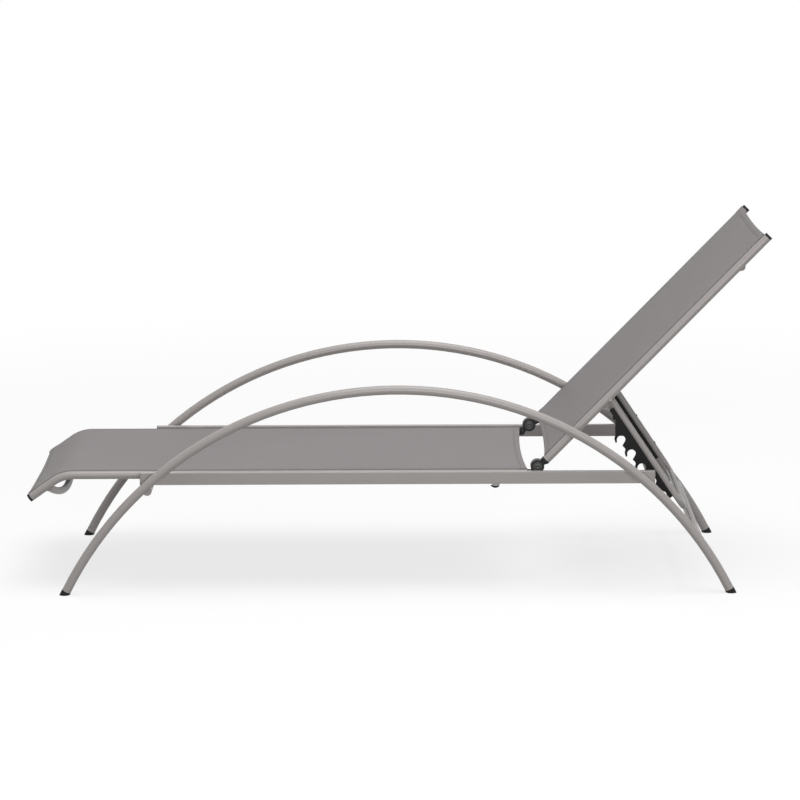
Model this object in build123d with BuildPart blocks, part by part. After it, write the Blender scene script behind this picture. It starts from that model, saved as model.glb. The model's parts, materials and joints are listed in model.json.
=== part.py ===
from build123d import *

import os
from math import asin, cos, radians, sin, sqrt, tan

# Sun lounger in millimetres: two arched legs that double as armrests carry a sling seat with a
# drooping foot end, and a sling backrest that leans on a notched prop. X runs from the foot end
# to the head end, Y across, Z up. The origin is on the floor under the middle of the lounger.
# A place called "out" is measured from the middle of the arches, towards one end.

# What every piece shares
sides = (("left", -1), ("right", 1))
overrun = 5
running_gap = 0.05
tube_wall = 1.5
thin_wall = 1.2

# Arched legs, each a tube bent to one arc that stands on both ends
arch_tube_d = 22
arch_chord = 1612
arch_rise = 501.5
arch_gap = 13.5
foot_cap_show = 10
foot_cap_lip = 0.5
foot_plug_length = 22
foot_plug_gap = 0.4

# Side rails, box tubes between the crossbars
side_rail_height = 30
side_rail_width = 15
side_rail_bottom = 265
side_rail_out = 619
side_cap_t = 2
side_plug_length = 14

# Crossbars from arch to arch, two of them placed by how far their middles lie inside or outside
# the arches' middle lines
front_bar_d = 22
front_bar_inside = 11.5
front_bar_sunk = 5
front_plug_length = 12
hook_bar_d = 13
hook_bar_outside = 1
rear_bar_d = 20
rear_bar_gap = 45.8

# Sling rails with a slot along their top, and the cord inside that holds the sling's edge
rail_d = 20
rail_half_spacing = 248
rail_wall = 1.5
slot_gap = 2.2
sling_t = 1
sling_gap = 0.1
edge_cord_d = 5
edge_cord_rise = 5.8
rail_cap_t = 6
rail_plug_length = 14
rail_plug_gap = 0.1
rail_plug_rise = 2.5

# Seat
seat_rail_z = 283
seat_corner_out = 811
foot_run = 99
foot_angle = 35
foot_bend_r = 85
seat_rear_out = 320
seat_hem_back = 7
seat_hem_dip = 7.5
spacer_length = 36
spacer_width = 10.5
spacer_height = 12
spacer_outs = (-520, -120, 270)

# Bows that keep the sling rails apart
bow_d = 18
bow_depth = 7
bow_end_in = 4
foot_bow_run = 45
foot_bow_sag = 50.5
foot_bow_lean = 22.5
rear_bow_out = 251
rear_bow_sag = 59
rear_bow_lean = 12
bumper_half_spacing = 100
bumper_length = 16
bumper_wall = 4
bumper_gap = 0.3
bumper_below = 8

# Recline hinges
hinge_out = 338.5
hinge_z = 301.6
hinge_d = 32.5
hinge_half_width = 10.7
hinge_gap = 0.3
hinge_neck_d = 6
hinge_collar = 4
hinge_plug_length = 14
hinge_bolt_d = 8
hinge_head_d = 21
hinge_head_t = 2.5

# Backrest, with places along it from the hinge and depths square to it, behind the hinge line
back_angle = 45.84
back_length = 785
back_rail_start = 26
back_rail_depth = 5
back_hem_in = 5
back_hem_short = 1
back_hem_dip = 5.5
lower_bow_along = 219
lower_bow_shoulder_in = 48
lower_bow_flat_in = 83
lower_bow_depth = 50
lower_bow_bend_r = 30
top_bow_below = 100
top_bow_sag = 25

# Prop frame, with places along its legs from the pivot and fronts square to them, towards the hinge
prop_along = 240
prop_depth = 11
prop_angle = 56.4
prop_length = 334
prop_side_gap = 10.5
prop_tube_d = 15
prop_eye_d = 16
prop_bend_r = 30
prop_bolt_d = 5
prop_head_d = 9
prop_head_t = 2
prop_nut_t = 3
bush_d = 15
bush_gap = 0.2

# Rack plates on the prop's legs, laid out from their notches, which follow the hook bar
rack_t = 6
rack_seat = 6
rack_top = 76.6
rack_top_front = 19
rack_shoulder = 50.6
rack_tail = 15.8
rack_end_front = 14
notch_d = 21
notch_pitch = 42.9
notch_fall = 2
notch_count = 5
notch_seated = 3
seat_slack = 3.7
seat_lift = 0.6
mouth_width = 17
mouth_length = 22
mouth_lean = 27.5
mouth_shift = 2
tooth_root = 17
tooth_root_front = 6
tooth_back = 10
tooth_back_front = 13
tooth_tip = 3
tooth_tip_front = 15
tooth_heel = 17.4
tooth_heel_front = 4.5
release_width = 16
release_length = 60
release_lean = 42
rack_tip_r = 1.2
rack_screw_d = 4
rack_screw_head_d = 6
rack_screw_head_t = 1.2
rack_screw_depth = 9
rack_screw_alongs = (34, 140, 226)

# Worked out from the sizes above
arch_r = (arch_chord**2 / 4 + arch_rise**2) / (2 * arch_rise)
arch_centre_z = arch_rise - arch_r
arch_tube_r = arch_tube_d / 2
rail_r = rail_d / 2
bow_r = bow_d / 2
prop_tube_r = prop_tube_d / 2
side_rail_half_spacing = rail_half_spacing + rail_r + spacer_width + side_rail_width / 2
arch_half_spacing = side_rail_half_spacing + side_rail_width / 2 + arch_gap + arch_tube_r
prop_half_spacing = rail_half_spacing - rail_r - prop_side_gap - prop_tube_r
sling_rise = rail_r + sling_gap + sling_t / 2
sling_half_width = rail_half_spacing + sling_t / 2
sling_flange = sling_rise - edge_cord_rise - edge_cord_d / 2 - sling_gap
foot_slope = radians(foot_angle)
back_slope = radians(back_angle)
prop_slope = radians(prop_angle)
foot_reach = seat_corner_out + foot_run * cos(foot_slope) + rail_r * sin(foot_slope)
head_reach = (
    hinge_out + back_length * cos(back_slope) + (back_rail_depth + rail_r) * sin(back_slope)
)
arch_x = (foot_reach - head_reach) / 2
hinge_x = arch_x + hinge_out
side_rail_z = side_rail_bottom + side_rail_height / 2
seat_corner_x = arch_x - seat_corner_out
seat_rear_x = arch_x + seat_rear_out
front_bar_z = side_rail_bottom - front_bar_d / 2
front_bar_x = arch_x - sqrt((arch_r - front_bar_inside) ** 2 - (front_bar_z - arch_centre_z) ** 2)
front_bar_reach = arch_half_spacing - arch_tube_r + front_bar_sunk
hook_bar_z = side_rail_bottom - hook_bar_d / 2
hook_bar_x = arch_x + sqrt((arch_r + hook_bar_outside) ** 2 - (hook_bar_z - arch_centre_z) ** 2)

foot_dir = Vector(-cos(foot_slope), 0, -sin(foot_slope))
foot_up = Vector(-sin(foot_slope), 0, cos(foot_slope))
back_dir = Vector(cos(back_slope), 0, sin(back_slope))
back_down = Vector(sin(back_slope), 0, -cos(back_slope))
prop_dir = Vector(cos(prop_slope), 0, -sin(prop_slope))
prop_front = Vector(-sin(prop_slope), 0, -cos(prop_slope))
across_dir = Vector(0, 1, 0)


def back_point(along, depth, y=0):
    """A point of the backrest: along from the hinge, depth behind the hinge line."""
    return Vector(hinge_x, y, hinge_z) + back_dir * along + back_down * depth


pivot = back_point(prop_along, prop_depth)


def prop_point(along, front, y=0):
    """A point of the prop: along its legs from the pivot, front towards the hinge."""
    return pivot + prop_dir * along + prop_front * front + Vector(0, y, 0)


# The rear crossbar lies on the arches, a gap past the end of the prop
rear_bar_along = prop_length + prop_tube_r + rear_bar_gap + rear_bar_d / 2
arch_centre_along = (Vector(arch_x, 0, arch_centre_z) - pivot).dot(prop_dir)
rear_bar_turn = prop_slope + asin((rear_bar_along - arch_centre_along) / arch_r)
rear_bar_x = arch_x + arch_r * sin(rear_bar_turn)
rear_bar_z = arch_centre_z + arch_r * cos(rear_bar_turn)


def across(y):
    """The upright plane at y, with X and Z as its own directions."""
    return Plane.XZ.offset(-y)


def finish(builder, name):
    builder.part.label = name
    export_step(builder.part, f"parts/{name}.step")


def rod(x, z, y_from, y_to, radius, mode=Mode.ADD):
    """A round bar, or with a cutting mode a bore, that runs along Y."""
    with BuildSketch(across(y_from)) as disc:
        with Locations((x, z)):
            Circle(radius)
    extrude(disc.sketch, amount=y_from - y_to, mode=mode)


def tube(path, diameter, wall):
    """A hollow tube along a path."""
    with BuildSketch(Plane(origin=path @ 0, z_dir=path % 0)) as ring:
        Circle(diameter / 2)
        Circle(diameter / 2 - wall, mode=Mode.SUBTRACT)
    sweep(ring.sketch, path=path)


def solid_rod(path, diameter):
    """A full round bar along a path."""
    with BuildSketch(Plane(origin=path @ 0, z_dir=path % 0)) as disc:
        Circle(diameter / 2)
    sweep(disc.sketch, path=path)


def rail_section(plane):
    """A rail's ring with its slot open upwards."""
    with BuildSketch(plane) as section:
        Circle(rail_r)
        Circle(rail_r - rail_wall, mode=Mode.SUBTRACT)
        with Locations((0, rail_r)):
            Rectangle(slot_gap, rail_r, mode=Mode.SUBTRACT)
    return section.sketch


def plug_section(plane):
    """A plug that fills a rail's bore but for the part under its slot, where the cord runs."""
    plug_r = rail_r - rail_wall - rail_plug_gap
    with BuildSketch(plane) as section:
        Circle(plug_r)
        with Locations((0, rail_plug_rise + rail_r / 2)):
            Rectangle(rail_d, rail_r, mode=Mode.SUBTRACT)
    return section.sketch


def sling_flanges():
    """In an open sketch, the two edges of a sling that turn down into the slots."""
    for side_name, side in sides:
        with Locations((side * rail_half_spacing, -sling_flange / 2)):
            Rectangle(sling_t, sling_flange)


def hinge_outline(face, neck_end):
    """A hinge half seen from the side: a disc, and a neck that widens to its rail's end."""
    with BuildSketch(face) as outline:
        with Locations((hinge_x, hinge_z)):
            Circle(hinge_neck_d / 2)
        with Locations(neck_end):
            Rectangle(hinge_collar, rail_d)
        make_hull()
        with Locations((hinge_x, hinge_z)):
            Circle(hinge_d / 2)
            Circle(hinge_bolt_d / 2 + running_gap, mode=Mode.SUBTRACT)
    return outline.sketch


def seat_line(y, rise, front, rear):
    """A line along the seat rails, raised above their middle, shortened at both ends."""
    corner = Vector(seat_corner_x - rise * tan(foot_slope / 2), y, seat_rail_z + rise)
    tip = Vector(seat_corner_x, y, seat_rail_z) + foot_up * rise + foot_dir * (foot_run - front)
    end = Vector(seat_rear_x - rear, y, seat_rail_z + rise)
    with BuildLine() as line:
        FilletPolyline(tip, corner, end, radius=foot_bend_r + rise)
    return line.line


os.makedirs("parts", exist_ok=True)

# Arches, each an arc about a point under the floor, cut short for its foot caps
foot_turn = asin(arch_chord / 2 / arch_r) - foot_cap_show / arch_r
foot_out = arch_r * sin(foot_turn)
foot_z = arch_centre_z + arch_r * cos(foot_turn)
arch_cores = []
for side_name, side in sides:
    arch_y = side * arch_half_spacing
    front_foot = Vector(arch_x - foot_out, arch_y, foot_z)
    rear_foot = Vector(arch_x + foot_out, arch_y, foot_z)
    with BuildLine() as arch_line:
        ThreePointArc(front_foot, (arch_x, arch_y, arch_rise), rear_foot)
    with BuildPart() as arch:
        tube(arch_line.line, arch_tube_d, tube_wall)
    finish(arch, f"arch_{side_name}")
    with BuildPart() as arch_core:
        solid_rod(arch_line.line, arch_tube_d)
    arch_cores.append(arch_core.part)
    for end_name, foot, end_side in (("front", front_foot, -1), ("rear", rear_foot, 1)):
        down = Vector(end_side * cos(foot_turn), 0, -sin(foot_turn))
        with BuildPart() as foot_cap:
            with BuildSketch(Plane(origin=foot, z_dir=down)):
                Circle(arch_tube_r + foot_cap_lip)
            extrude(amount=foot_cap_show + arch_tube_d)
            split(bisect_by=Plane.XY, keep=Keep.TOP)
            with BuildSketch(Plane(origin=foot, z_dir=down)):
                Circle(arch_tube_r - tube_wall - foot_plug_gap)
            extrude(amount=-foot_plug_length)
        finish(foot_cap, f"foot_cap_{end_name}_{side_name}")

# Crossbars, cut to the arches' round sides
def crossbar(x, z, diameter, half_length, name):
    with BuildPart() as bar:
        rod(x, z, -half_length, half_length, diameter / 2)
        rod(x, z, -half_length, half_length, diameter / 2 - tube_wall, Mode.SUBTRACT)
        for core in arch_cores:
            add(core, mode=Mode.SUBTRACT)
    finish(bar, name)


crossbar(front_bar_x, front_bar_z, front_bar_d, front_bar_reach, "front_crossbar")
crossbar(hook_bar_x, hook_bar_z, hook_bar_d, arch_half_spacing, "hook_bar")
crossbar(rear_bar_x, rear_bar_z, rear_bar_d, arch_half_spacing, "rear_crossbar")
front_plug_r = front_bar_d / 2 - tube_wall - rail_plug_gap
front_plug_from = front_bar_reach - front_plug_length
with BuildPart() as front_plugs:
    for side_name, side in sides:
        rod(front_bar_x, front_bar_z, side * front_plug_from, side * front_bar_reach, front_plug_r)
    for core in arch_cores:
        add(core, mode=Mode.SUBTRACT)
finish(front_plugs, "front_crossbar_plugs")

# Side rails with a plug in each open end
for side_name, side in sides:
    rail_centre = Vector(arch_x, side * side_rail_half_spacing, side_rail_z)
    with BuildPart() as side_rail:
        with BuildSketch(Plane(origin=rail_centre, x_dir=across_dir, z_dir=(1, 0, 0))):
            Rectangle(side_rail_width, side_rail_height)
            Rectangle(
                side_rail_width - 2 * tube_wall, side_rail_height - 2 * tube_wall, mode=Mode.SUBTRACT
            )
        extrude(amount=side_rail_out, both=True)
    finish(side_rail, f"side_rail_{side_name}")
    with BuildPart() as side_plugs:
        for end in (-1, 1):
            end_centre = rail_centre + Vector(end * side_rail_out, 0, 0)
            with BuildSketch(Plane(origin=end_centre, x_dir=across_dir, z_dir=(end, 0, 0))):
                Rectangle(side_rail_width, side_rail_height)
            extrude(amount=side_cap_t)
            with BuildSketch(Plane(origin=end_centre, x_dir=across_dir, z_dir=(end, 0, 0))):
                plug_wall = 2 * (tube_wall + rail_plug_gap)
                Rectangle(side_rail_width - plug_wall, side_rail_height - plug_wall)
            extrude(amount=-side_plug_length)
    finish(side_plugs, f"side_rail_plugs_{side_name}")

# Seat rails, the cords in them, their end caps and the spacers to the side rails
seat_cores = []
for side_name, side in sides:
    rail_y = side * rail_half_spacing
    seat_path = seat_line(rail_y, 0, rail_cap_t, 0)
    seat_tip = Plane(origin=seat_path @ 0, x_dir=across_dir, z_dir=seat_path % 0)
    with BuildPart() as seat_rail:
        sweep(rail_section(seat_tip), path=seat_path)
    finish(seat_rail, f"seat_rail_{side_name}")
    with BuildPart() as seat_core:
        solid_rod(seat_path, rail_d)
    seat_cores.append(seat_core.part)
    cord_margin = rail_cap_t + rail_plug_length + rail_plug_gap
    cord_line = seat_line(rail_y, edge_cord_rise, cord_margin, hinge_plug_length + rail_plug_gap)
    with BuildPart() as seat_cord:
        solid_rod(cord_line, edge_cord_d)
    finish(seat_cord, f"seat_edge_cord_{side_name}")
    with BuildPart() as seat_cap:
        with BuildSketch(seat_tip):
            Circle(rail_r)
        extrude(amount=-rail_cap_t)
        extrude(plug_section(seat_tip), amount=rail_plug_length)
    finish(seat_cap, f"seat_rail_cap_{side_name}")
    with BuildPart() as spacers:
        for out in spacer_outs:
            spacer_y = side * (rail_half_spacing + (rail_r + spacer_width) / 2)
            with Locations((arch_x + out, spacer_y, seat_rail_z)):
                Box(spacer_length, rail_r + spacer_width, spacer_height)
        add(seat_core.part, mode=Mode.SUBTRACT)
    finish(spacers, f"rail_spacers_{side_name}")

# Seat sling, a sheet over both rails and down into their slots, with a hollowed rear hem
seat_sling_line = seat_line(0, sling_rise, rail_cap_t + sling_gap, seat_hem_back)
seat_hem_x = seat_rear_x - seat_hem_back
with BuildPart() as seat_sling:
    sling_start = Plane(
        origin=seat_sling_line @ 0, x_dir=across_dir, z_dir=seat_sling_line % 0
    )
    with BuildSketch(sling_start) as sling_strip:
        Rectangle(2 * sling_half_width, sling_t)
        sling_flanges()
    sweep(sling_strip.sketch, path=seat_sling_line)
    with BuildSketch(Plane.XY.offset(seat_rail_z)) as hem_cut:
        with BuildLine():
            hem = ThreePointArc(
                (seat_hem_x, -sling_half_width),
                (seat_hem_x - seat_hem_dip, 0),
                (seat_hem_x, sling_half_width),
            )
            Polyline(
                hem @ 1,
                (seat_hem_x + overrun, sling_half_width),
                (seat_hem_x + overrun, -sling_half_width),
                hem @ 0,
            )
        make_face()
    extrude(hem_cut.sketch, amount=sling_rise + overrun, mode=Mode.SUBTRACT)
finish(seat_sling, "seat_sling")

# Bows under the seat, each one arc from rail to rail, and the bumper pads under the rear one
def bow(left_end, middle, right_end, cores, name):
    with BuildLine() as bow_line:
        ThreePointArc(left_end, middle, right_end)
    with BuildPart() as bow_tube:
        tube(bow_line.line, bow_d, tube_wall)
        for core in cores:
            add(core, mode=Mode.SUBTRACT)
    finish(bow_tube, name)
    return bow_line.line


bow_y = Vector(0, rail_half_spacing - bow_end_in, 0)
foot_bow_end = (
    Vector(seat_corner_x, 0, seat_rail_z) + foot_dir * foot_bow_run - foot_up * bow_depth
)
foot_bow_fall = Vector(sin(radians(foot_bow_lean)), 0, -cos(radians(foot_bow_lean))) * foot_bow_sag
foot_bow_middle = foot_bow_end + foot_bow_fall
bow(foot_bow_end - bow_y, foot_bow_middle, foot_bow_end + bow_y, seat_cores, "seat_foot_bow")
rear_bow_end = Vector(arch_x + rear_bow_out, 0, seat_rail_z - bow_depth)
rear_bow_fall = Vector(sin(radians(rear_bow_lean)), 0, cos(radians(rear_bow_lean))) * rear_bow_sag
rear_bow_middle = rear_bow_end - rear_bow_fall
rear_bow_line = bow(
    rear_bow_end - bow_y, rear_bow_middle, rear_bow_end + bow_y, seat_cores, "seat_rear_bow"
)
with BuildPart() as bumpers:
    bumper_share = bumper_half_spacing / (rail_half_spacing - bow_end_in)
    for share in ((1 - bumper_share) / 2, (1 + bumper_share) / 2):
        bumper_plane = Plane(origin=rear_bow_line @ share, z_dir=rear_bow_line % share)
        with BuildSketch(bumper_plane):
            Circle(bow_r + bumper_gap + bumper_wall)
            Circle(bow_r + bumper_gap, mode=Mode.SUBTRACT)
        extrude(amount=bumper_length / 2, both=True)
    pad_top = (rear_bow_line @ share).Z - bumper_below
    split(bisect_by=Plane.XY.offset(pad_top), keep=Keep.BOTTOM)
finish(bumpers, "stacking_bumpers")

# Back rails with a bolt hole for the prop, their cords and caps
back_cores = {}
bolt_hole_r = prop_bolt_d / 2 + running_gap
for side_name, side in sides:
    rail_y = side * rail_half_spacing
    back_start = Plane(
        origin=back_point(back_rail_start, back_rail_depth, rail_y), x_dir=across_dir, z_dir=back_dir
    )
    rail_length = back_length - back_rail_start - rail_cap_t
    with BuildPart() as back_rail:
        extrude(rail_section(back_start), amount=rail_length)
        rod(pivot.X, pivot.Z, rail_y - rail_d, rail_y + rail_d, bolt_hole_r, Mode.SUBTRACT)
    finish(back_rail, f"back_rail_{side_name}")
    with BuildPart() as back_core:
        with BuildSketch(back_start):
            Circle(rail_r)
        extrude(amount=rail_length)
    back_cores[side_name] = back_core.part
    cord_start = back_rail_start + hinge_plug_length + rail_plug_gap
    cord_end = back_length - rail_cap_t - rail_plug_length - rail_plug_gap
    cord_base = back_point(cord_start, back_rail_depth - edge_cord_rise, rail_y)
    with BuildPart() as back_cord:
        with BuildSketch(Plane(origin=cord_base, x_dir=across_dir, z_dir=back_dir)):
            Circle(edge_cord_d / 2)
        extrude(amount=cord_end - cord_start)
    finish(back_cord, f"back_edge_cord_{side_name}")
    back_end = Plane(
        origin=back_point(back_length - rail_cap_t, back_rail_depth, rail_y),
        x_dir=across_dir,
        z_dir=back_dir,
    )
    with BuildPart() as back_cap:
        with BuildSketch(back_end):
            Circle(rail_r)
        extrude(amount=rail_cap_t)
        extrude(plug_section(back_end), amount=-rail_plug_length)
    finish(back_cap, f"back_rail_cap_{side_name}")

# Back sling, flat, with a hollowed hem at each end
back_hem_start = back_rail_start + back_hem_in
back_hem_end = back_length - rail_cap_t - back_hem_short
with BuildPart() as back_sling:
    back_face = Plane(
        origin=back_point(0, back_rail_depth - sling_rise), x_dir=back_dir, z_dir=-back_down
    )
    with BuildSketch(back_face):
        with BuildLine():
            low_hem = ThreePointArc(
                (back_hem_start, -sling_half_width),
                (back_hem_start + back_hem_dip, 0),
                (back_hem_start, sling_half_width),
            )
            top_hem = ThreePointArc(
                (back_hem_end, sling_half_width),
                (back_hem_end - back_hem_dip, 0),
                (back_hem_end, -sling_half_width),
            )
            Line(low_hem @ 1, top_hem @ 0)
            Line(top_hem @ 1, low_hem @ 0)
        make_face()
    extrude(amount=sling_t / 2, both=True)
    flange_base = back_point(back_hem_start, back_rail_depth - sling_rise)
    with BuildSketch(Plane(origin=flange_base, x_dir=across_dir, z_dir=back_dir)):
        sling_flanges()
    extrude(amount=back_hem_end - back_hem_start)
finish(back_sling, "back_sling")

# Bows of the backrest: the upper one an arc, the lower one dropped clear of the rack plates
top_bow_along = back_length - top_bow_below
top_bow_depth = back_rail_depth + bow_depth
bow(
    back_point(top_bow_along, top_bow_depth) - bow_y,
    back_point(top_bow_along, top_bow_depth + top_bow_sag),
    back_point(top_bow_along, top_bow_depth) + bow_y,
    back_cores.values(),
    "back_top_bow",
)
with BuildLine() as lower_bow_line:
    bow_reach = rail_half_spacing - bow_end_in
    bow_outline = [
        (bow_reach, top_bow_depth),
        (rail_half_spacing - lower_bow_shoulder_in, top_bow_depth),
        (rail_half_spacing - lower_bow_flat_in, lower_bow_depth),
    ]
    left_half = [back_point(lower_bow_along, depth, -y) for y, depth in bow_outline]
    right_half = [back_point(lower_bow_along, depth, y) for y, depth in reversed(bow_outline)]
    FilletPolyline(*left_half, *right_half, radius=lower_bow_bend_r)
with BuildPart() as lower_bow:
    tube(lower_bow_line.line, bow_d, tube_wall)
    for core in back_cores.values():
        add(core, mode=Mode.SUBTRACT)
finish(lower_bow, "back_lower_bow")

# Recline hinges: a half on the seat rail outside, a half on the back rail inside, and a bolt
hinge_bolt_r = hinge_bolt_d / 2
hinge_head_r = hinge_head_d / 2
for side_name, side in sides:
    rail_y = side * rail_half_spacing
    outer_y = side * (rail_half_spacing + hinge_gap)
    outer_face_y = side * (rail_half_spacing + hinge_gap + hinge_half_width)
    inner_y = side * (rail_half_spacing - hinge_gap)
    inner_face_y = side * (rail_half_spacing - hinge_gap - hinge_half_width)
    seat_end = Plane(origin=(seat_rear_x, rail_y, seat_rail_z), x_dir=across_dir, z_dir=(1, 0, 0))
    back_start = Plane(
        origin=back_point(back_rail_start, back_rail_depth, rail_y), x_dir=across_dir, z_dir=back_dir
    )
    seat_collar = Location((seat_rear_x + hinge_collar / 2, seat_rail_z, 0))
    back_collar_middle = back_point(back_rail_start - hinge_collar / 2, back_rail_depth)
    back_collar = Location(
        (back_collar_middle.X, back_collar_middle.Z, 0), (0, 0, back_angle)
    )
    with BuildPart() as hinge_lower:
        extrude(hinge_outline(across(outer_y), seat_collar), amount=outer_y - outer_face_y)
        with BuildSketch(seat_end):
            Circle(rail_r)
        extrude(amount=hinge_collar)
        extrude(plug_section(seat_end), amount=-hinge_plug_length)
    finish(hinge_lower, f"hinge_lower_{side_name}")
    with BuildPart() as hinge_upper:
        extrude(hinge_outline(across(inner_y), back_collar), amount=inner_y - inner_face_y)
        with BuildSketch(back_start):
            Circle(rail_r)
        extrude(amount=-hinge_collar)
        extrude(plug_section(back_start), amount=hinge_plug_length)
    finish(hinge_upper, f"hinge_upper_{side_name}")
    with BuildPart() as hinge_bolt:
        inner_head_y = inner_face_y - side * running_gap
        rod(hinge_x, hinge_z, inner_head_y, outer_face_y, hinge_bolt_r)
        rod(hinge_x, hinge_z, inner_head_y, inner_head_y - side * hinge_head_t, hinge_head_r)
        rod(hinge_x, hinge_z, outer_face_y, outer_face_y + side * hinge_head_t, hinge_head_r)
    finish(hinge_bolt, f"hinge_bolt_{side_name}")

# Places on the prop that follow the hook bar, which lies in the seated notch at rest
bar_offset = Vector(hook_bar_x, 0, hook_bar_z) - pivot
bar_along = bar_offset.dot(prop_dir)
seated_along = bar_along + seat_slack
seated_front = bar_offset.dot(prop_front) - seat_lift
notch_steps = [step - notch_seated for step in range(notch_count)]
notches = [
    (seated_along + step * notch_pitch, seated_front - step * notch_fall) for step in notch_steps
]
first_along = notches[0][0]
rack_end = notches[-1][0] + rack_tail
screw_alongs = [first_along - rack_top + place for place in rack_screw_alongs]

# Prop frame: one tube bent to a U, with a solid eye at each pivot
with BuildPart() as prop_frame:
    with BuildLine() as prop_line:
        FilletPolyline(
            prop_point(0, 0, -prop_half_spacing),
            prop_point(prop_length, 0, -prop_half_spacing),
            prop_point(prop_length, 0, prop_half_spacing),
            prop_point(0, 0, prop_half_spacing),
            radius=prop_bend_r,
        )
    tube(prop_line.line, prop_tube_d, thin_wall)
    for side_name, side in sides:
        eye_in = side * (prop_half_spacing - prop_tube_r)
        eye_out = side * (prop_half_spacing + prop_tube_r)
        rod(pivot.X, pivot.Z, eye_in, eye_out, prop_eye_d / 2)
        rod(pivot.X, pivot.Z, eye_in, eye_out, bolt_hole_r, Mode.SUBTRACT)
        for screw_along in screw_alongs:
            screw_back = prop_point(screw_along, -prop_tube_d, side * prop_half_spacing)
            with BuildSketch(Plane(origin=screw_back, z_dir=prop_front)):
                Circle(rack_screw_d / 2 + running_gap)
            extrude(amount=2 * prop_tube_d, mode=Mode.SUBTRACT)
finish(prop_frame, "prop_frame")
with BuildPart() as prop_core:
    solid_rod(prop_line.line, prop_tube_d)

# Rack plates: hooks that open towards the floor, cut from one outline
rack_outline = [
    (rack_end, rack_seat),
    (first_along - rack_top, rack_seat),
    (first_along - rack_top, rack_top_front),
    (first_along - rack_shoulder, rack_top_front),
]
for step, (along, front) in zip(notch_steps, notches):
    if step:
        rack_outline += [
            (along - tooth_root, front + tooth_root_front),
            (along - tooth_back, front + tooth_back_front),
            (along - tooth_tip, front + tooth_tip_front),
            (along + tooth_tip / 2, front + tooth_tip_front),
        ]
    rack_outline.append((along + tooth_heel, front + tooth_heel_front))
rack_outline.append((rack_end, rack_end_front))
mouth_turn = radians(mouth_lean)
mouth_reach = mouth_shift * cos(mouth_turn) + mouth_length / 2 * sin(mouth_turn)
mouth_drop = mouth_length / 2 * cos(mouth_turn) - mouth_shift * sin(mouth_turn)
release_place = Location((bar_along, seated_front, 0), (0, 0, -release_lean))
for side_name, side in sides:
    rack_face = Plane(
        origin=prop_point(0, 0, side * prop_half_spacing),
        x_dir=prop_dir,
        z_dir=prop_dir.cross(prop_front),
    )
    with BuildPart() as rack_plate:
        with BuildSketch(rack_face) as rack_sketch:
            with BuildLine():
                Polyline(*rack_outline, close=True)
            make_face()
            for along, front in notches:
                with Locations((along, front)):
                    Circle(notch_d / 2, mode=Mode.SUBTRACT)
                with Locations((along + mouth_reach, front + mouth_drop)):
                    Rectangle(mouth_width, mouth_length, rotation=-mouth_lean, mode=Mode.SUBTRACT)
            with Locations(release_place):
                SlotCenterPoint(
                    (-release_length / 2, 0), (-release_length, 0), release_width, mode=Mode.SUBTRACT
                )
            offset(amount=-rack_tip_r)
            offset(amount=rack_tip_r)
        extrude(amount=rack_t / 2, both=True)
        add(prop_core.part, mode=Mode.SUBTRACT)
        for screw_along in screw_alongs:
            screw_middle = prop_point(screw_along, 0, side * prop_half_spacing)
            with BuildSketch(Plane(origin=screw_middle, z_dir=prop_front)):
                Circle(rack_screw_d / 2 + running_gap)
            extrude(amount=prop_tube_r + rack_screw_depth, mode=Mode.SUBTRACT)
    finish(rack_plate, f"rack_plate_{side_name}")
with BuildPart() as rack_screws:
    for side_name, side in sides:
        for screw_along in screw_alongs:
            screw_seat = Plane(
                origin=prop_point(screw_along, -prop_tube_r, side * prop_half_spacing), z_dir=prop_front
            )
            with BuildSketch(screw_seat):
                Circle(rack_screw_d / 2)
            extrude(amount=prop_tube_d + rack_screw_depth - rack_tip_r)
            with BuildSketch(screw_seat):
                Circle(rack_screw_head_d / 2)
            extrude(amount=-rack_screw_head_t)
finish(rack_screws, "rack_screws")

# Prop pivots: a bush between leg and rail, and a bolt through all three
for side_name, side in sides:
    rail_y = side * rail_half_spacing
    leg_out = side * (prop_half_spacing + prop_tube_r + bush_gap)
    leg_in = side * (prop_half_spacing - prop_tube_r - bush_gap)
    head_from = side * (rail_half_spacing + rail_r)
    with BuildPart() as prop_bush:
        rod(pivot.X, pivot.Z, leg_out, rail_y, bush_d / 2)
        add(back_cores[side_name], mode=Mode.SUBTRACT)
        rod(pivot.X, pivot.Z, leg_out, rail_y, bolt_hole_r, Mode.SUBTRACT)
    finish(prop_bush, f"prop_bush_{side_name}")
    with BuildPart() as prop_bolt:
        nut_y = leg_in - side * prop_nut_t
        rod(pivot.X, pivot.Z, nut_y, head_from, prop_bolt_d / 2)
        rod(pivot.X, pivot.Z, nut_y, leg_in, prop_head_d / 2)
        rod(pivot.X, pivot.Z, head_from, head_from + side * prop_head_t, prop_head_d / 2)
    finish(prop_bolt, f"prop_bolt_{side_name}")
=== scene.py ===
# %% [markdown]
# A sling sun lounger in a plain studio. The metal frame, the hinges and the notched prop come
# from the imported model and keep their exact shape. This file gives them their finishes, lays
# the two woven slings over the rails, and adds what a maker adds last: welds, stitches and
# hinge covers.

# %% Load the frame
import json
import math

import bmesh
import bpy
import numpy as np
from mathutils import Matrix, Vector


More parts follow.
